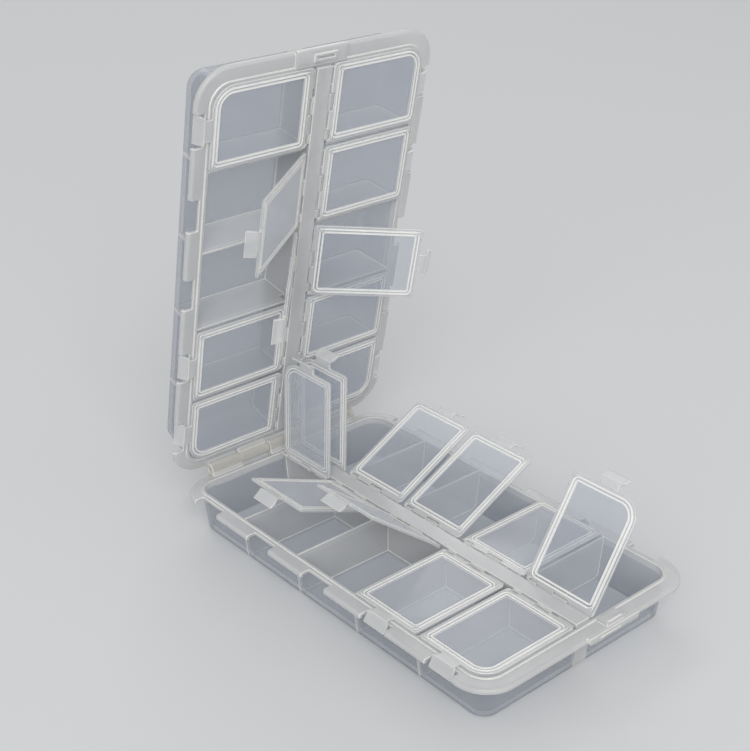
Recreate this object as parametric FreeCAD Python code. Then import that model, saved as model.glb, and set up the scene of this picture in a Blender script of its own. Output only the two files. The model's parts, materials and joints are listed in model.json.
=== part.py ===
import FreeCAD
import Part
import math
import os

os.makedirs("parts", exist_ok=True)

# A folding box of two equal shallow trays. Each tray has two columns of small
# compartments, a spine strip over its middle wall and one hinged lid per compartment.
# Frame: origin at the middle of the lower tray's underside, +Z up, +Y towards the fold
# hinge, X across. Lengths are millimetres and angles are degrees.

# Trays
tray_length = 192.0
tray_width = 112.0
flange_height = 20.5
rim_rise = 0.5
wall = 1.3
floor_thickness = 1.2
draft_inset = 2.5
corner_radius = 9.6
bottom_round = 2.0
pocket_round = 3.0

# Compartments
row_count = 5
divider_thickness = 1.0
centre_wall = 1.0
centre_channel = 4.9
notch_length = 3.0
notch_depth = 5.0

# Flange round the rim: a narrow lip all round, wide guards at the corners and over dividers
flange_thickness = 1.3
flange_reach = 6.2
flange_lip = 1.2
flange_drop = 0.9
flange_round = 1.4
narrow_reach = 1.6
guard_bevel = 1.3
latch_guard_length = 12.0
hinge_guard_length = 10.2
ledge_length = 23.5

# Fold hinge
fold_offset = 5.4
fold_rise = 2.3
fold_open = 78.0
flat_gap = 0.4
pin_radius = 1.0
pin_inset = 1.0
pin_clearance = 0.06
outer_knuckle_radius = 3.1
inner_knuckle_radius = 2.6
outer_knuckle_length = 17.3
inner_knuckle_length = 15.9
middle_knuckle_length = 18.8
knuckle_gap = 0.4
bracket_foot = 2.4
bracket_drop = 3.6

# End latch; both halves sit off the middle as measured
thumb_x = 9.5
thumb_width = 30.0
thumb_depth = 3.3
thumb_thickness = 1.7
thumb_round = 2.0
thumb_overhang = 0.9
thumb_slot_x = 7.0
thumb_slot_length = 12.0
thumb_slot_height = 0.8
thumb_slot_depth = 0.5
catch_x = 11.5
catch_width = 10.5
catch_depth = 5.4
catch_height = 1.6
catch_round = 0.5
catch_ridge_width = 0.9
catch_ridge_height = 0.4
pad_x = 1.5
pad_width = 26.5
pad_height = 1.4
pad_frame_width = 12.0
pad_frame_depth = 3.4
pad_frame_height = 0.5
pad_slot_length = 9.0
pad_slot_width = 1.2

# Spine strip
spine_width = 7.8
spine_thickness = 1.4
spine_end_inset = 1.6
plug_depth = 3.0
plug_clearance = 0.25
clip_radius = 1.3
end_clip_inset = 2.9
end_clip_length = 4.0
middle_clip_shift = 0.8
middle_clip_length = 7.7
clip_mouth = 60.0
clip_mouth_turn = 100.0

# Lids
lid_thickness = 1.0
lid_seat_gap = 0.3
lid_gap = 2.2
lid_side_inset = 0.8
hinge_end_inset = 3.2
latch_end_inset = 1.0
lid_corner = 1.5
lid_bar_offset = 5.4
bar_radius = 0.75
bar_sink = 0.1
bar_end_inset = 1.4
bar_clearance = 0.06
clip_side_clearance = 0.3
bead_inset = 1.3
bead_hinge_inset = 2.4
bead_line = 0.7
bead_space = 0.8
bead_height = 0.3
loop_length = 8.0
loop_clearance = 0.4
loop_reach = 1.1
loop_rise = 0.6
loop_sink = 0.5
loop_edge = 0.35
loop_slot_width = 0.6
neck_width = 9.6
neck_length = 3.6
grip_width = 12.2
grip_length = 6.2
grip_depth = 4.6
grip_thickness = 1.2

# Opening angle of each lid, first row at the fold hinge
lower_left_open = [92.0, 22.5, 38.0, 0.0, 0.0]
lower_right_open = [88.0, 27.5, 26.5, 0.0, 57.5]
upper_left_open = [0.0, 0.0, 48.0, 32.5, 0.0]
upper_right_open = [0.0, 0.0, 31.5, 0.0, 0.0]

# Places that follow from the sizes above
reach_beyond = 5.0
half_length = tray_length / 2
half_width = tray_width / 2
rim_height = flange_height + rim_rise
centre_half = centre_channel / 2 + centre_wall
fold_y = half_length + fold_offset
fold_z = flange_height + fold_rise
hinge_end_reach = fold_offset - flat_gap
lid_bottom = rim_height + lid_seat_gap
lid_top = lid_bottom + lid_thickness
bar_z = lid_bottom - bar_sink
lid_free_x = half_width - lid_side_inset
row_pitch = tray_length / row_count
row_edges = [half_length - row_pitch * row for row in range(row_count + 1)]
divider_ys = row_edges[1:-1]
hinge_zone_half = middle_knuckle_length / 2 + inner_knuckle_length + outer_knuckle_length
hinge_zone_half = hinge_zone_half + 3 * knuckle_gap


def point(x, y, z):
    return FreeCAD.Vector(x, y, z)


def box(x_low, x_high, y_low, y_high, z_low, z_high):
    corner = point(x_low, y_low, z_low)
    return Part.makeBox(x_high - x_low, y_high - y_low, z_high - z_low, corner)


def fused(shapes):
    whole = shapes[0]
    if len(shapes) > 1:
        whole = whole.multiFuse(shapes[1:])
    return whole.removeSplitter()


def prism(corners, direction):
    """Solid from a closed polygon pushed along a direction."""
    wire = Part.makePolygon(corners + [corners[0]])
    return Part.Face(wire).extrude(direction)


def rounded_outline(x_low, x_high, y_low, y_high, radii, z):
    """Rectangle with round corners; radii run from the low corner anticlockwise."""
    centres = [
        (x_low + radii[0], y_low + radii[0], 180),
        (x_high - radii[1], y_low + radii[1], 270),
        (x_high - radii[2], y_high - radii[2], 0),
        (x_low + radii[3], y_high - radii[3], 90),
    ]
    arcs = []
    for (x, y, start), radius in zip(centres, radii):
        turns = [math.radians(start + step) for step in (0, 45, 90)]
        places = [point(x + radius * math.cos(t), y + radius * math.sin(t), z) for t in turns]
        arcs.append((places, Part.Arc(*places).toShape()))
    edges = []
    for index, (places, arc) in enumerate(arcs):
        edges.append(arc)
        following = arcs[(index + 1) % 4][0][0]
        edges.append(Part.makeLine(places[2], following))
    return Part.Wire(edges)


def rounded_block(x_low, x_high, y_low, y_high, radii, z_low, z_high):
    outline = rounded_outline(x_low, x_high, y_low, y_high, radii, z_low)
    return Part.Face(outline).extrude(point(0, 0, z_high - z_low))


def edges_at_height(shape, height):
    found = []
    for edge in shape.Edges:
        box_of_edge = edge.BoundBox
        if abs(box_of_edge.ZMin - height) < 1e-4 and abs(box_of_edge.ZMax - height) < 1e-4:
            found.append(edge)
    return found


def wall_inset(height):
    """How far the drafted wall stands in from the rim outline at a height."""
    return draft_inset * (1 - height / rim_height)


def tray_outline(offset, height):
    inset = wall_inset(height) + offset
    radius = corner_radius - inset
    x = half_width - inset
    y = half_length - inset
    return rounded_outline(-x, x, -y, y, [radius] * 4, height)


def drafted_block(offset, z_low, z_high):
    outlines = [tray_outline(offset, z_low), tray_outline(offset, z_high)]
    return Part.makeLoft(outlines, True, True)


def tray_shell():
    """Outer body with its ten compartments and the channel under the spine."""
    outer = drafted_block(0, 0, rim_height)
    outer = outer.makeFillet(bottom_round, edges_at_height(outer, 0))
    hollow = drafted_block(wall, floor_thickness, rim_height + reach_beyond)
    hollow = hollow.makeFillet(pocket_round, edges_at_height(hollow, floor_thickness))
    high = rim_height + reach_beyond
    plates = [box(-centre_half, centre_half, -half_length, half_length, 0, high)]
    for y in divider_ys:
        thick = divider_thickness / 2
        plates.append(box(-half_width, half_width, y - thick, y + thick, 0, high))
    pockets = hollow.cut(fused(plates))
    shell = outer.cut(pockets)
    return shell.cut(spine_channel(0)).cut(divider_notches())


def spine_channel(clearance):
    """Space between the two middle walls, shrunk by a clearance for the spine's plug."""
    x = centre_channel / 2 - clearance
    y = half_length - wall - wall_inset(0) - clearance
    low = floor_thickness
    if clearance:
        low = rim_height - plug_depth
    return box(-x, x, -y, y, low, rim_height)


def divider_notches():
    """Small notches where the dividers meet the middle walls, under the lid hinges."""
    cuts = []
    for y in divider_ys:
        for side in (-1, 1):
            ends = sorted([side * centre_half, side * (centre_half + notch_length)])
            thick = divider_thickness
            low = rim_height - notch_depth
            cuts.append(box(ends[0], ends[1], y - thick, y + thick, low, rim_height))
    return cuts[0].multiFuse(cuts[1:])


def guard_regions():
    """Plan areas that keep the full flange: the latch end, the hinge corners, the ledges."""
    far = half_width + flange_reach + reach_beyond
    low = 0
    high = rim_height + reach_beyond
    bevel_x = half_width + flange_reach - guard_bevel
    latch_y = -half_length + latch_guard_length
    hinge_y = half_length - hinge_guard_length
    regions = []
    for side in (-1, 1):
        latch_end = [
            point(0, -half_length - far, low),
            point(side * far, -half_length - far, low),
            point(side * far, latch_y - guard_bevel, low),
            point(side * bevel_x, latch_y, low),
            point(0, latch_y, low),
        ]
        hinge_end = [
            point(side * hinge_zone_half, half_length + far, low),
            point(side * far, half_length + far, low),
            point(side * far, hinge_y + guard_bevel, low),
            point(side * bevel_x, hinge_y, low),
            point(side * hinge_zone_half, hinge_y, low),
        ]
        regions.append(prism(latch_end, point(0, 0, high)))
        regions.append(prism(hinge_end, point(0, 0, high)))
        for y in divider_ys:
            half = ledge_length / 2
            ledge = [
                point(side * (half_width - wall), y - half, low),
                point(side * bevel_x, y - half, low),
                point(side * far, y - half + guard_bevel, low),
                point(side * far, y + half - guard_bevel, low),
                point(side * bevel_x, y + half, low),
                point(side * (half_width - wall), y + half, low),
            ]
            regions.append(prism(ledge, point(0, 0, high)))
    return regions


def flange_ring(reach, latch_reach, hinge_reach, z_low, z_high):
    radius = corner_radius + reach
    x = half_width + reach
    y_low = -half_length - latch_reach
    y_high = half_length + hinge_reach
    return rounded_block(-x, x, y_low, y_high, [radius] * 4, z_low, z_high)


def flange():
    """Wide guards and a narrow lip, both fixed to the outside of the wall."""
    bottom = flange_height - flange_thickness
    plate = flange_ring(flange_reach, flange_reach, hinge_end_reach, bottom - flange_drop, flange_height)
    plate = plate.makeFillet(flange_round, edges_at_height(plate, flange_height))
    inner = flange_reach - flange_lip
    under = flange_ring(inner, inner, hinge_end_reach - flange_lip, bottom - flange_drop, bottom)
    plate = plate.cut(under)
    guards = [plate.common(region) for region in guard_regions()]
    narrow = flange_ring(narrow_reach, narrow_reach, narrow_reach, bottom, flange_height)
    inside = drafted_block(wall / 2, 0, rim_height)
    return [piece.cut(inside) for piece in guards + [narrow]]


def knuckle(x_low, x_high, radius, bore):
    """One barrel of the fold hinge with the bracket that carries it."""
    along = point(1, 0, 0)
    length = x_high - x_low
    barrel = Part.makeCylinder(radius, length, point(x_low, fold_y, fold_z), along)
    root = half_length - wall / 2
    foot = half_length + bracket_foot
    low = flange_height - bracket_drop
    bracket = [
        point(x_low, root, low),
        point(x_low, foot, low),
        point(x_low, fold_y + radius / 3, fold_z - radius * 0.93),
        point(x_low, fold_y, fold_z),
        point(x_low, fold_y - radius * 0.93, fold_z - radius / 3),
        point(x_low, foot - bracket_foot / 3, flange_height),
        point(x_low, root, flange_height),
    ]
    web = prism(bracket, point(length, 0, 0))
    hole = Part.makeCylinder(bore, length, point(x_low, fold_y, fold_z), along)
    return barrel.fuse(web).cut(hole)


def outer_knuckles():
    """The lower tray's three knuckles, which grip the pin."""
    half = middle_knuckle_length / 2
    start = half + 2 * knuckle_gap + inner_knuckle_length
    spans = [(-start - outer_knuckle_length, -start), (-half, half), (start, start + outer_knuckle_length)]
    return [knuckle(low, high, outer_knuckle_radius, pin_radius) for low, high in spans]


def inner_knuckles():
    """The upper tray's two knuckles, which turn on the pin."""
    start = middle_knuckle_length / 2 + knuckle_gap
    stop = start + inner_knuckle_length
    bore = pin_radius + pin_clearance
    spans = [(-stop, -start), (start, stop)]
    return [knuckle(low, high, inner_knuckle_radius, bore) for low, high in spans]


def thumb_lip():
    """Lip that hangs from the lower tray's latch end, with a shallow slot in its face."""
    x_low = thumb_x - thumb_width / 2
    x_high = thumb_x + thumb_width / 2
    low = flange_height - thumb_depth
    face_y = -half_length - flange_reach - thumb_overhang
    bend = thumb_round * (1 - math.sin(math.radians(45)))
    left = [
        point(x_low, face_y, low + thumb_round),
        point(x_low + bend, face_y, low + bend),
        point(x_low + thumb_round, face_y, low),
    ]
    right = [
        point(x_high - thumb_round, face_y, low),
        point(x_high - bend, face_y, low + bend),
        point(x_high, face_y, low + thumb_round),
    ]
    top_left = point(x_low, face_y, flange_height)
    top_right = point(x_high, face_y, flange_height)
    edges = [
        Part.Arc(*left).toShape(),
        Part.makeLine(left[2], right[0]),
        Part.Arc(*right).toShape(),
        Part.makeLine(right[2], top_right),
        Part.makeLine(top_right, top_left),
        Part.makeLine(top_left, left[0]),
    ]
    lip = Part.Face(Part.Wire(edges)).extrude(point(0, thumb_thickness, 0))
    slot_low = thumb_slot_x - thumb_slot_length / 2
    slot_z = flange_height - thumb_depth / 2 - thumb_slot_height / 2
    corner = point(slot_low, face_y, slot_z)
    slot = Part.makeBox(thumb_slot_length, thumb_slot_depth, thumb_slot_height, corner)
    return lip.cut(slot)


def latch_middle_y():
    return -half_length - flange_reach / 2


def catch_block():
    """Raised block on the lower tray's latch end, with a low ridge along its outer side."""
    y = latch_middle_y()
    x_low = catch_x - catch_width / 2
    x_high = catch_x + catch_width / 2
    y_low = y - catch_depth / 2
    root = flange_height - flange_thickness / 2
    top = flange_height + catch_height
    block = box(x_low, x_high, y_low, y + catch_depth / 2, root, top)
    block = block.makeFillet(catch_round, edges_at_height(block, top))
    inset = catch_round + catch_ridge_width
    ridge_y = y_low + catch_round
    ridge_top = top + catch_ridge_height
    ridge = box(x_low + inset, x_high - inset, ridge_y, ridge_y + catch_ridge_width, root, ridge_top)
    return block.fuse(ridge)


def latch_pad():
    """Raised pad on the upper tray's latch end, with a framed slot in the middle."""
    y = latch_middle_y()
    root = flange_height - flange_thickness / 2
    top = flange_height + pad_height
    outer_y = -half_length - flange_reach - thumb_overhang
    inner_y = -half_length + wall / 2
    pad = box(pad_x - pad_width / 2, pad_x + pad_width / 2, outer_y, inner_y, root, top)
    pad = pad.makeFillet(catch_round, edges_at_height(pad, top))
    frame_top = top + pad_frame_height
    half_x = pad_frame_width / 2
    half_y = pad_frame_depth / 2
    frame = box(-half_x, half_x, y - half_y, y + half_y, root, frame_top)
    slot_x = pad_slot_length / 2
    slot_y = pad_slot_width / 2
    slot = box(-slot_x, slot_x, y - slot_y, y + slot_y, root, frame_top)
    return pad.fuse(frame).cut(slot)


def lower_tray():
    return fused([tray_shell()] + flange() + outer_knuckles() + [thumb_lip(), catch_block()])


def upper_tray():
    return fused([tray_shell()] + flange() + inner_knuckles() + [latch_pad()])


def row_span(row):
    """Low and high Y of a lid; row 0 is at the fold hinge."""
    high_inset = hinge_end_inset if row == 0 else lid_gap / 2
    low_inset = latch_end_inset if row == row_count - 1 else lid_gap / 2
    return row_edges[row + 1] + low_inset, row_edges[row] - high_inset


def clip_spans(row):
    """Low and high Y of the two clips of a lid."""
    end_high = row_edges[row] - end_clip_inset
    middle = (row_edges[row] + row_edges[row + 1]) / 2 - middle_clip_shift
    half = middle_clip_length / 2
    return [(end_high - end_clip_length, end_high), (middle - half, middle + half)]


def loop_spans(row):
    """Low and high Y of a lid's two hinge loops: between the clips, and at the bar's end."""
    end_clip, middle_clip = clip_spans(row)
    start = row_span(row)[0] + bar_end_inset
    return [(middle_clip[1] + loop_clearance, end_clip[0] - loop_clearance), (start, start + loop_length)]


def lid_clip(low, high, side):
    """Spring ring that carries a lid's hinge bar, open at the top on its outer side."""
    along = point(0, 1, 0)
    length = high - low
    start = point(lid_bar_offset, low, bar_z)
    ring = Part.makeCylinder(clip_radius, length, start, along)
    arm_x = centre_half + plug_clearance
    arm = box(arm_x, lid_bar_offset, low, high, bar_z - bar_radius, bar_z + bar_radius)
    bore = Part.makeCylinder(bar_radius + bar_clearance, length, start, along)
    first = math.radians(clip_mouth_turn - clip_mouth)
    last = math.radians(clip_mouth_turn)
    reach = 2 * clip_radius
    mouth_corners = [
        start,
        point(start.x + reach * math.cos(first), start.y, start.z + reach * math.sin(first)),
        point(start.x + reach * math.cos(last), start.y, start.z + reach * math.sin(last)),
    ]
    mouth = prism(mouth_corners, point(0, length, 0))
    clip = ring.fuse(arm).cut(bore).cut(mouth)
    if side < 0:
        clip = clip.mirror(point(0, 0, 0), point(1, 0, 0))
    return clip


def spine():
    """Strip over the middle walls, with a plug between them and the lids' clips."""
    half = spine_width / 2
    low = -half_length + spine_end_inset
    high = half_length - spine_end_inset
    strip = box(-half, half, low, high, rim_height, rim_height + spine_thickness)
    clips = []
    for row in range(row_count):
        for clip_low, clip_high in clip_spans(row):
            for side in (-1, 1):
                clips.append(lid_clip(clip_low, clip_high, side))
    return fused([strip, spine_channel(plug_clearance)] + clips)


def lid_radii(row):
    """Corner radii from the low hinge corner; end rows follow the tray's round corner."""
    large = corner_radius
    low_free = large if row == row_count - 1 else lid_corner
    high_free = large if row == 0 else lid_corner
    return [lid_corner, low_free, high_free, lid_corner]


def lid_beads(row):
    """Two thin raised lines round the clear panel."""
    low, high = row_span(row)
    rings = []
    for step in range(2):
        outer = bead_inset + step * (bead_line + bead_space)
        inner = outer + bead_line
        blocks = []
        for inset in (outer, inner):
            radii = [max(radius - inset, lid_corner / 2) for radius in lid_radii(row)]
            left = lid_bar_offset + bead_hinge_inset - bead_inset + inset
            right = lid_free_x - inset
            top = lid_top + bead_height
            blocks.append(rounded_block(left, right, low + inset, high - inset, radii, lid_top, top))
        rings.append(blocks[0].cut(blocks[1]))
    return rings


def lid_tab(row):
    """Latch tab: a neck over the rim and a wider grip that hangs outside it."""
    low, high = row_span(row)
    y = (low + high) / 2
    neck_x = lid_free_x + neck_length
    tip_x = lid_free_x + grip_length
    half = grip_width / 2
    neck_half = neck_width / 2
    neck = box(lid_free_x - lid_thickness, neck_x, y - neck_half, y + neck_half, lid_bottom, lid_top)
    profile = [
        point(neck_x - lid_thickness, y - half, lid_top),
        point(neck_x, y - half, lid_top),
        point(tip_x, y - half, lid_top - grip_depth),
        point(tip_x - grip_thickness, y - half, lid_top - grip_depth),
        point(neck_x - lid_thickness, y - half, lid_bottom),
    ]
    grip = prism(profile, point(0, grip_width, 0))
    flare = grip_thickness
    plan = [
        point(neck_x - lid_thickness, y - neck_half, 0),
        point(neck_x - lid_thickness + flare, y - half, 0),
        point(tip_x, y - half, 0),
        point(tip_x, y + half, 0),
        point(neck_x - lid_thickness + flare, y + half, 0),
        point(neck_x - lid_thickness, y + neck_half, 0),
    ]
    grip = grip.common(prism(plan, point(0, 0, lid_top + lid_thickness)))
    return [neck, grip]


def hinge_bar(row):
    """A lid's hinge bar with two flat slotted loops beside it, clear of the clips."""
    low, high = row_span(row)
    start = point(lid_bar_offset, low + bar_end_inset, bar_z)
    bar = Part.makeCylinder(bar_radius, high - low - 2 * bar_end_inset, start, point(0, 1, 0))
    left = lid_bar_offset - loop_reach
    slot_left = left + loop_edge
    slot_right = slot_left + loop_slot_width
    for loop_low, loop_high in loop_spans(row):
        loop = box(left, lid_bar_offset, loop_low, loop_high, bar_z - loop_sink, bar_z + loop_rise)
        slot_low = loop_low + loop_edge
        slot_high = loop_high - loop_edge
        slot = box(slot_left, slot_right, slot_low, slot_high, bar_z - bar_radius, bar_z + bar_radius)
        bar = bar.fuse(loop).cut(slot)
    return bar


def lid(row, side):
    """One closed lid on the right of the spine, or its mirror on the left."""
    low, high = row_span(row)
    plate = rounded_block(lid_bar_offset, lid_free_x, low, high, lid_radii(row), lid_bottom, lid_top)
    reach = lid_bar_offset + clip_radius + clip_side_clearance
    for clip_low, clip_high in clip_spans(row):
        start = clip_low - clip_side_clearance
        stop = clip_high + clip_side_clearance
        plate = plate.cut(box(lid_bar_offset - clip_radius, reach, start, stop, bar_z, lid_top))
    shape = fused([plate, hinge_bar(row)] + lid_beads(row) + lid_tab(row))
    if side < 0:
        shape = shape.mirror(point(0, 0, 0), point(1, 0, 0))
    return shape


def opened(shape, side, angle):
    """Turn a lid about its hinge bar; a positive angle lifts the free edge."""
    shape.rotate(point(side * lid_bar_offset, 0, bar_z), point(0, 1, 0), -side * angle)
    return shape


def onto_upper(shape):
    """Turn a piece of the lower tray over and swing it up about the fold pin."""
    shape.rotate(point(0, 0, fold_z), point(0, 1, 0), 180)
    shape.rotate(point(0, fold_y, fold_z), point(1, 0, 0), -fold_open)
    return shape


def fold_pin():
    half = hinge_zone_half - pin_inset
    return Part.makeCylinder(pin_radius, 2 * half, point(-half, fold_y, fold_z), point(1, 0, 0))


def save(name, shape):
    shape.exportStep("parts/" + name + ".step")
    bounds = shape.BoundBox
    sizes = [round(bounds.XLength, 1), round(bounds.YLength, 1), round(bounds.ZLength, 1)]
    print(name, len(shape.Solids), shape.isValid(), sizes)


def main():
    save("lower_tray", lower_tray())
    save("upper_tray", onto_upper(upper_tray()))
    save("fold_pin", fold_pin())
    save("lower_spine", spine())
    save("upper_spine", onto_upper(spine()))
    for row in range(row_count):
        number = str(row + 1)
        save("lower_left_lid_" + number, opened(lid(row, -1), -1, lower_left_open[row]))
        save("lower_right_lid_" + number, opened(lid(row, 1), 1, lower_right_open[row]))
        save("upper_left_lid_" + number, onto_upper(opened(lid(row, 1), 1, upper_left_open[row])))
        save("upper_right_lid_" + number, onto_upper(opened(lid(row, -1), -1, upper_right_open[row])))


main()
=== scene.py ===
import bmesh
import bpy
import json
import math
from mathutils import Matrix, Vector

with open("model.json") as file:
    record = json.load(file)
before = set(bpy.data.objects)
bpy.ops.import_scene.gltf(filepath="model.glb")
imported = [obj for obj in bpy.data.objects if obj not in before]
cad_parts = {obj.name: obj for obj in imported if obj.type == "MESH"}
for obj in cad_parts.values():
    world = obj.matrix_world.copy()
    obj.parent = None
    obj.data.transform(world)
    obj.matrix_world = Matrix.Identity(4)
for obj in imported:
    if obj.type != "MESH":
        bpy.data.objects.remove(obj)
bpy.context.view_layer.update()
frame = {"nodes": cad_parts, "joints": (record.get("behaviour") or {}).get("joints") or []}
nodes = frame["nodes"]
scene = bpy.context.scene
print("frame loaded:", len(nodes), "nodes")

mm = 0.001


def linearColour(hexText, alpha=1.0):  # sRGB hex to the linear numbers that sockets take
    values = []
    for start in (0, 2, 4):
        share = int(hexText[start:start + 2], 16) / 255
        values.append(share / 12.92 if share <= 0.04045 else ((share + 0.055) / 1.055) ** 2.4)
    return (*values, alpha)


def addNode(tree, kind, settings=None, inputs=None):  # a socket among the inputs becomes a link
    node = tree.nodes.new(kind)
    for name, value in (settings or {}).items():
        setattr(node, name, value)
    for name, value in (inputs or {}).items():
        if isinstance(value, bpy.types.NodeSocket):
            tree.links.new(value, node.inputs[name])
        else:
            node.inputs[name].default_value = value
    return node


def newMaterial(name):
    material = bpy.data.materials.new(name)
    material.use_nodes = True
    material.node_tree.nodes.clear()
    return material, material.node_tree


print("camera")
camera = {
    "place": (-0.3557, -0.3843, 0.3535),
    "yaw": 40.57,
    "pitch": 26.21,
    "roll": -0.36,
    "focalPixels": 1393.3,
    "imageWidth": 750,
    "sensorWidth": 36.0,
}
cameraData = bpy.data.cameras.new("camera")
cameraObject = bpy.data.objects.new("camera", cameraData)
scene.collection.objects.link(cameraObject)
cameraData.sensor_fit = "HORIZONTAL"
cameraData.sensor_width = camera["sensorWidth"]
cameraData.lens = camera["focalPixels"] * camera["sensorWidth"] / camera["imageWidth"]
cameraData.clip_end = 50
aim = Matrix.Rotation(math.radians(-camera["yaw"]), 4, "Z")
aim = aim @ Matrix.Rotation(math.radians(90 - camera["pitch"]), 4, "X")
aim = aim @ Matrix.Rotation(math.radians(camera["roll"]), 4, "Z")
cameraObject.matrix_world = Matrix.Translation(camera["place"]) @ aim
scene.camera = cameraObject

print("plastic")
# Clear polypropylene lets light along inside it; the white along every edge is painted light, a glow put
# into the colour by an edge mask. The thick rim is milkier in itself, and the thin flat walls stay
# see-through with a cool haze.
polypropylene = {
    "hazeHex": "E2E4E7",
    "milkHex": "E6E5E2",
    # painted edge glow: the near-white colour and the density painted along every edge stand in for light
    # piped inside the plastic
    "paintedEdgeGlowHex": "F6F4EE",
    "hingeHex": "E2DED3",
    "paintedEdgeGlowMaxDensity": 0.93,
    "cloudSize": 14 * mm,
    "cloudDepth": 0.025,
    "rippleSize": 3 * mm,
    "roughness": 0.18,
}
tray = {
    "tintHex": "E0E2E6",
    "edgeRadius": 0.8 * mm,
    "density": 0.1,
    "grazeDensity": 0.28,
    "rimDensity": 0.38,
    "rimStart": 17.2 * mm,
    "rimFull": 18.4 * mm,
    "dividerDensity": 0.34,
    "dividerHalf": 0.7 * mm,
    "dividerReach": 90.0 * mm,   # the end walls beyond it stay clear
    "channelHalf": 3.8 * mm,
    "hingeRadius": 4.4 * mm,
    "hingeDensity": 0.42,
    "markRadius": 2.6 * mm,
    "markWidth": 0.35 * mm,
    "markColumn": 28.6 * mm,
    "rowPitch": 38.4 * mm,
    "rows": 5,
}
lid = {
    "tintHex": "EFF1F4",
    "edgeRadius": 0.45 * mm,
    "grazeDensity": 0.6,
    "panelDensity": 0.08,
    "marginDensity": 0.22,
    "thickDensity": 0.3,
    "hingeSide": 10.0 * mm,   # panel sides, from the tray's middle
    "freeSide": 51.7 * mm,
    "endMargin": 4.6 * mm,    # from a row's edge to the panel
    "foldMargin": 6.7 * mm,   # the same at the fold hinge and at the latch
    "latchMargin": 4.5 * mm,
    "corner": 0.8 * mm,
    "roundCorner": 6.1 * mm,
    "beadWidth": 0.7 * mm,
    "beadPitch": 1.5 * mm,
    "hingeStrip": 7.7 * mm,
    "tabStart": 55.2 * mm,
}
spine = {
    "tintHex": "E6E7E9",
    "edgeRadius": 0.8 * mm,
    "density": 0.4,
    "grazeDensity": 0.3,
}
foldHinge = next(joint for joint in frame["joints"] if joint["name"] == "fold_hinge")


def turned(place, axis, angle):
    centre = Vector(place)
    turn = Matrix.Rotation(math.radians(angle), 4, Vector(axis))
    return Matrix.Translation(centre) @ turn @ Matrix.Translation(-centre)


def trayPlace(upper):  # a tray's own frame: the part's frame, or that turned over and folded up
    if not upper:
        return Matrix.Identity(4)
    centre = (0, 0, foldHinge["pos_m"][2])
    foldOpen = 180 - foldHinge["range_deg"][1]
    return turned(foldHinge["pos_m"], (1, 0, 0), -foldOpen) @ turned(centre, (0, 1, 0), 180)


def lidPlace(name):  # a lid's own frame is its tray's frame with the lid shut
    hinge = next(joint for joint in frame["joints"] if joint["name"] == name + "_hinge")
    opened = -hinge["range_deg"][0]
    return turned(hinge["pos_m"], hinge["axis"], opened) @ trayPlace(name.startswith("upper"))


def maths(tree, operation, first, second=0.0, third=0.0, clamp=False):
    settings = {"operation": operation, "use_clamp": clamp}
    return addNode(tree, "ShaderNodeMath", settings, {0: first, 1: second, 2: third}).outputs["Value"]


def fade(tree, value, none, full):  # 0 where value is at none, 1 where it is at full
    node = addNode(tree, "ShaderNodeMapRange", {"interpolation_type": "SMOOTHSTEP"},
                   {"Value": value, "From Min": none, "From Max": full})
    return node.outputs["Result"]


def between(tree, share, low, high):
    node = addNode(tree, "ShaderNodeMapRange", {}, {"Value": share, "To Min": low, "To Max": high})
    return node.outputs["Result"]


def mixColour(tree, share, low, high):
    node = addNode(tree, "ShaderNodeMix", {"data_type": "RGBA"})
    sockets = {socket.identifier: socket for socket in node.inputs}
    tree.links.new(share, sockets["Factor_Float"])
    for key, value in (("A_Color", low), ("B_Color", high)):
        if isinstance(value, bpy.types.NodeSocket):
            tree.links.new(value, sockets[key])
        else:
            sockets[key].default_value = value
    return next(socket for socket in node.outputs if socket.identifier == "Result_Color")


def length(tree, first, second):
    square = maths(tree, "MULTIPLY_ADD", second, second, maths(tree, "MULTIPLY", first, first))
    return maths(tree, "SQRT", square)


def ownAxes(tree, place):  # Object coordinates brought into a piece's own frame
    where = addNode(tree, "ShaderNodeTexCoord")
    local = addNode(tree, "ShaderNodeMapping", {"vector_type": "TEXTURE"},
                    {"Vector": where.outputs["Object"], "Location": place.to_translation(),
                     "Rotation": place.to_3x3().to_euler()})
    return addNode(tree, "ShaderNodeSeparateXYZ", {}, {"Vector": local.outputs["Vector"]}).outputs


def trayMasks(tree, place):  # the thick rim, the inner walls, the hinge and the ejector pins' marks
    axes = ownAxes(tree, place)
    rim = fade(tree, axes["Z"], tray["rimStart"], tray["rimFull"])
    away = length(tree, maths(tree, "SUBTRACT", axes["Y"], foldHinge["pos_m"][1]),
                  maths(tree, "SUBTRACT", axes["Z"], foldHinge["pos_m"][2]))
    hinge = fade(tree, away, tray["hingeRadius"], tray["hingeRadius"] * 0.7)
    column = maths(tree, "SUBTRACT", maths(tree, "ABSOLUTE", axes["X"]), tray["markColumn"])
    row = maths(tree, "WRAP", axes["Y"], tray["rowPitch"] / 2, -tray["rowPitch"] / 2)
    ring = maths(tree, "ABSOLUTE", maths(tree, "SUBTRACT", length(tree, column, row), tray["markRadius"]))
    off = maths(tree, "SUBTRACT", tray["rowPitch"] / 2, maths(tree, "ABSOLUTE", row))
    within = maths(tree, "LESS_THAN", maths(tree, "ABSOLUTE", axes["Y"]), tray["dividerReach"])
    divider = maths(tree, "MULTIPLY", within,
                    fade(tree, off, tray["dividerHalf"] * 1.5, tray["dividerHalf"]))
    middle = fade(tree, maths(tree, "ABSOLUTE", axes["X"]), tray["channelHalf"] * 1.15, tray["channelHalf"])
    inner = maths(tree, "MAXIMUM", divider, middle)
    return rim, inner, hinge, fade(tree, ring, tray["markWidth"], 0.0)


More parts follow.
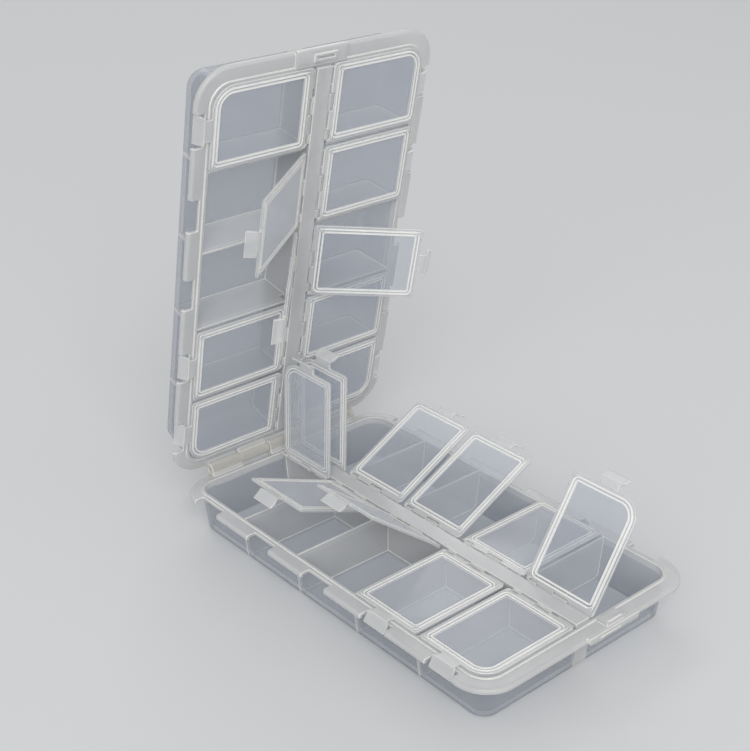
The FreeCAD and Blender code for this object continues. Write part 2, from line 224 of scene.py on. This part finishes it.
def lidMasks(tree, place, row):  # the margin, the two beads, and the hinge strip with the tab
    axes = ownAxes(tree, place)
    rowHigh = tray["rowPitch"] * (tray["rows"] / 2 - row + 1)
    high = rowHigh - (lid["foldMargin"] if row == 1 else lid["endMargin"])
    low = rowHigh - tray["rowPitch"] + (lid["latchMargin"] if row == tray["rows"] else lid["endMargin"])
    outward = maths(tree, "ABSOLUTE", axes["X"])
    across = maths(tree, "SUBTRACT", outward, (lid["hingeSide"] + lid["freeSide"]) / 2)
    along = maths(tree, "SUBTRACT", axes["Y"], (high + low) / 2)
    radius = lid["corner"]
    if row in (1, tray["rows"]):
        roundEnd = maths(tree, "GREATER_THAN" if row == 1 else "LESS_THAN", along, 0.0)
        roundEnd = maths(tree, "MULTIPLY", roundEnd, maths(tree, "GREATER_THAN", across, 0.0))
        radius = between(tree, roundEnd, lid["corner"], lid["roundCorner"])
    sides = []
    for value, half in ((across, (lid["freeSide"] - lid["hingeSide"]) / 2), (along, (high - low) / 2)):
        past = maths(tree, "SUBTRACT", maths(tree, "ABSOLUTE", value), half)
        sides.append(maths(tree, "ADD", past, radius))
    outside = [maths(tree, "MAXIMUM", side, 0.0) for side in sides]
    inside = maths(tree, "MINIMUM", maths(tree, "MAXIMUM", sides[0], sides[1]), 0.0)
    edge = maths(tree, "SUBTRACT", maths(tree, "ADD", length(tree, *outside), inside), radius)
    soft = 0.12 * mm
    half = lid["beadWidth"] / 2
    beads = 0.0
    for step in (0, 1):
        line = maths(tree, "ABSOLUTE", maths(tree, "SUBTRACT", edge, half + step * lid["beadPitch"]))
        beads = maths(tree, "ADD", fade(tree, line, half, half - 2 * soft), beads)
    margin = fade(tree, edge, lid["beadPitch"], lid["beadPitch"] + lid["beadWidth"])
    thick = maths(tree, "MAXIMUM", fade(tree, outward, lid["hingeStrip"] + soft, lid["hingeStrip"] - soft),
                  fade(tree, outward, lid["tabStart"], lid["tabStart"] + soft))
    return margin, beads, thick


def clearPolypropylene(name, kind, place=None, row=0):
    material, tree = newMaterial(name)
    values = {"tray": tray, "lid": lid, "spine": spine}[kind]
    where = addNode(tree, "ShaderNodeTexCoord")
    surface = addNode(tree, "ShaderNodeNewGeometry")
    rounded = addNode(tree, "ShaderNodeBevel", {"samples": 6},
                      {"Radius": values["edgeRadius"]}).outputs["Normal"]
    alike = addNode(tree, "ShaderNodeVectorMath", {"operation": "DOT_PRODUCT"},
                    {0: rounded, 1: surface.outputs["Normal"]})
    edge = fade(tree, alike.outputs["Value"], 0.995, 0.9)
    cloud = addNode(tree, "ShaderNodeTexNoise", {},
                    {"Vector": where.outputs["Object"], "Scale": 1 / polypropylene["cloudSize"],
                     "Detail": 3.0, "Roughness": 0.55}).outputs["Fac"]
    ripples = addNode(tree, "ShaderNodeTexNoise", {},
                    {"Vector": where.outputs["Object"], "Scale": 1 / polypropylene["rippleSize"],
                     "Detail": 2.0}).outputs["Fac"]
    relief = maths(tree, "MULTIPLY_ADD", ripples, 0.1, cloud)
    haze = linearColour(polypropylene["hazeHex"])
    milk = linearColour(polypropylene["milkHex"])
    if kind == "tray":
        rim, inner, hinge, mark = trayMasks(tree, place)
        density = maths(tree, "MULTIPLY_ADD", rim, tray["rimDensity"] - tray["density"], tray["density"])
        for mask, key in ((inner, "dividerDensity"), (hinge, "hingeDensity")):
            density = maths(tree, "MAXIMUM", density, maths(tree, "MULTIPLY", mask, tray[key]))
        colour = mixColour(tree, maths(tree, "MAXIMUM", rim, inner), haze, milk)
        colour = mixColour(tree, hinge, colour, linearColour(polypropylene["hingeHex"]))
        relief = maths(tree, "MULTIPLY_ADD", mark, 0.5, relief)
    elif kind == "lid":
        margin, beads, thick = lidMasks(tree, place, row)
        density = between(tree, margin, lid["panelDensity"], lid["marginDensity"])
        density = maths(tree, "MAXIMUM", density, maths(tree, "MULTIPLY", thick, lid["thickDensity"]))
        # the two beads are painted as bright lines here, part of the painted edge glow standing in for
        # light along their edges
        edge = maths(tree, "MAXIMUM", edge, beads)
        colour = mixColour(tree, margin, haze, milk)
    else:
        density = between(tree, cloud, spine["density"], spine["density"] + 0.05)
        colour = mixColour(tree, cloud, haze, milk)
    facing = addNode(tree, "ShaderNodeLayerWeight", {}, {"Blend": 0.5}).outputs["Facing"]
    graze = maths(tree, "POWER", facing, 1.5)
    density = maths(tree, "MULTIPLY_ADD", graze, values["grazeDensity"], density)
    depth = polypropylene["cloudDepth"]
    density = maths(tree, "ADD", density, between(tree, cloud, -depth, depth))
    # painted edge glow: every convex and concave edge, and the lid beads, get a near-white glow painted for
    # light piped inside the plastic, varied a little by the cloud noise
    paintedEdgeGlow = maths(tree, "MULTIPLY", edge, between(tree, cloud, 0.85, 1.0))
    paintedEdgeGlowDensity = maths(tree, "MULTIPLY", paintedEdgeGlow, polypropylene["paintedEdgeGlowMaxDensity"])
    density = maths(tree, "MAXIMUM", density, paintedEdgeGlowDensity)
    density = maths(tree, "MINIMUM", density, 0.95)
    colour = mixColour(tree, paintedEdgeGlow, colour, linearColour(polypropylene["paintedEdgeGlowHex"]))
    gloss = between(tree, ripples, polypropylene["roughness"] - 0.06, polypropylene["roughness"] + 0.08)
    uneven = addNode(tree, "ShaderNodeBump", {},
                     {"Height": relief, "Strength": 0.08, "Distance": 0.25 * mm,
                      "Normal": rounded}).outputs["Normal"]
    milky = addNode(tree, "ShaderNodeBsdfPrincipled", {},
                    {"Base Color": colour, "Roughness": gloss, "IOR": 1.49,
                     "Normal": uneven}).outputs["BSDF"]
    clear = addNode(tree, "ShaderNodeBsdfTransparent", {},
                    {"Color": linearColour(values["tintHex"])}).outputs["BSDF"]
    shown = addNode(tree, "ShaderNodeMixShader", {}, {0: density, 1: clear, 2: milky}).outputs["Shader"]
    addNode(tree, "ShaderNodeOutputMaterial", {}, {"Surface": shown})
    return material


def drawnSteelWire():  # straight bright wire; the die leaves fine lines along it
    wire = {"hex": "B9B6AE", "lineSize": 0.15 * mm, "stretch": 0.02}
    material, tree = newMaterial("drawn steel wire")
    where = addNode(tree, "ShaderNodeTexCoord")
    along = addNode(tree, "ShaderNodeMapping", {},
                    {"Vector": where.outputs["Object"], "Scale": (wire["stretch"], 1, 1)})
    lines = addNode(tree, "ShaderNodeTexNoise", {},
                    {"Vector": along.outputs["Vector"], "Scale": 1 / wire["lineSize"], "Detail": 2.0})
    scratch = addNode(tree, "ShaderNodeBump", {},
                      {"Height": lines.outputs["Fac"], "Strength": 0.15, "Distance": 0.05 * mm})
    shader = addNode(tree, "ShaderNodeBsdfPrincipled", {},
                     {"Base Color": linearColour(wire["hex"]), "Metallic": 1.0,
                      "Roughness": between(tree, lines.outputs["Fac"], 0.25, 0.42),
                      "Normal": scratch.outputs["Normal"]})
    addNode(tree, "ShaderNodeOutputMaterial", {}, {"Surface": shader.outputs["BSDF"]})
    return material


def finishOf(name):
    if name.endswith("tray"):
        return clearPolypropylene("clear moulded polypropylene, " + name, "tray",
                                  trayPlace(name.startswith("upper")))
    if "lid" in name.split("_"):
        return clearPolypropylene("thin clear moulded polypropylene, " + name, "lid",
                                  lidPlace(name), int(name[-1]))
    return steelWire if name.endswith("pin") else hazyPlastic


steelWire = drawnSteelWire()
hazyPlastic = clearPolypropylene("hazy moulded polypropylene", "spine")
for name, thing in nodes.items():
    thing.data.materials.clear()
    thing.data.materials.append(finishOf(name))
print("finishes set")

print("floor and light")
studio = {
    "floorHex": "C9CACB",
    "floorSize": 8.0,
    "skyHex": "ECEDEE",
    "skyStrength": 0.7,
    "backdropHex": "D2D4D5",
}
floorMesh = bpy.data.meshes.new("floor")
ground = bmesh.new()
bmesh.ops.create_grid(ground, x_segments=1, y_segments=1, size=studio["floorSize"] / 2)
ground.to_mesh(floorMesh)
ground.free()
floor = bpy.data.objects.new("floor", floorMesh)
scene.collection.objects.link(floor)
floorPaper, floorTree = newMaterial("pale matte paper")
floorWhere = addNode(floorTree, "ShaderNodeTexCoord")
fibre = addNode(floorTree, "ShaderNodeTexNoise", {},
                {"Vector": floorWhere.outputs["Object"], "Scale": 1 / (2 * mm)})
floorShader = addNode(floorTree, "ShaderNodeBsdfPrincipled", {},
                      {"Base Color": linearColour(studio["floorHex"]),
                       "Roughness": between(floorTree, fibre.outputs["Fac"], 0.85, 0.95)})
addNode(floorTree, "ShaderNodeOutputMaterial", {}, {"Surface": floorShader.outputs["BSDF"]})
floorMesh.materials.append(floorPaper)

world = bpy.data.worlds.new("studio")
world.use_nodes = True
scene.world = world
sky = world.node_tree
sky.nodes.clear()
ray = addNode(sky, "ShaderNodeLightPath").outputs
through = maths(sky, "ADD", ray["Is Glossy Ray"], ray["Is Transmission Ray"])
seen = maths(sky, "ADD", ray["Is Camera Ray"], through, clamp=True)
lit = addNode(sky, "ShaderNodeBackground", {},
              {"Color": linearColour(studio["skyHex"]), "Strength": studio["skyStrength"]})
backdrop = addNode(sky, "ShaderNodeBackground", {},
                   {"Color": linearColour(studio["backdropHex"]), "Strength": 1.0})
skyMix = addNode(sky, "ShaderNodeMixShader", {},
                 {0: seen, 1: lit.outputs["Background"], 2: backdrop.outputs["Background"]})
addNode(sky, "ShaderNodeOutputWorld", {}, {"Surface": skyMix.outputs["Shader"]})


def softLamp(name, place, target, size, power):
    lamp = bpy.data.lights.new(name, "AREA")
    lamp.shape = "RECTANGLE"
    lamp.size, lamp.size_y = size
    lamp.energy = power
    lampObject = bpy.data.objects.new(name, lamp)
    scene.collection.objects.link(lampObject)
    way = Vector(target) - Vector(place)
    aim = way.to_track_quat("-Z", "Y").to_matrix().to_4x4()
    lampObject.matrix_world = Matrix.Translation(place) @ aim


lamps = {
    "key": ((-1.5, -2.4, 2.1), (0, 0, 0.05), (2.0, 2.0), 64),
    "fill": ((-3.0, -1.8, 2.0), (0, 0, 0.1), (2.0, 2.0), 38),
    "back": ((1.8, 3.0, 2.6), (0, 0.05, 0.1), (2.4, 1.2), 28),
}
for name, (place, target, size, power) in lamps.items():
    softLamp(name, place, target, size, power)

scene.view_settings.view_transform = "Standard"
scene.cycles.transparent_max_bounces = 32  # the tray stands in many layers one behind another
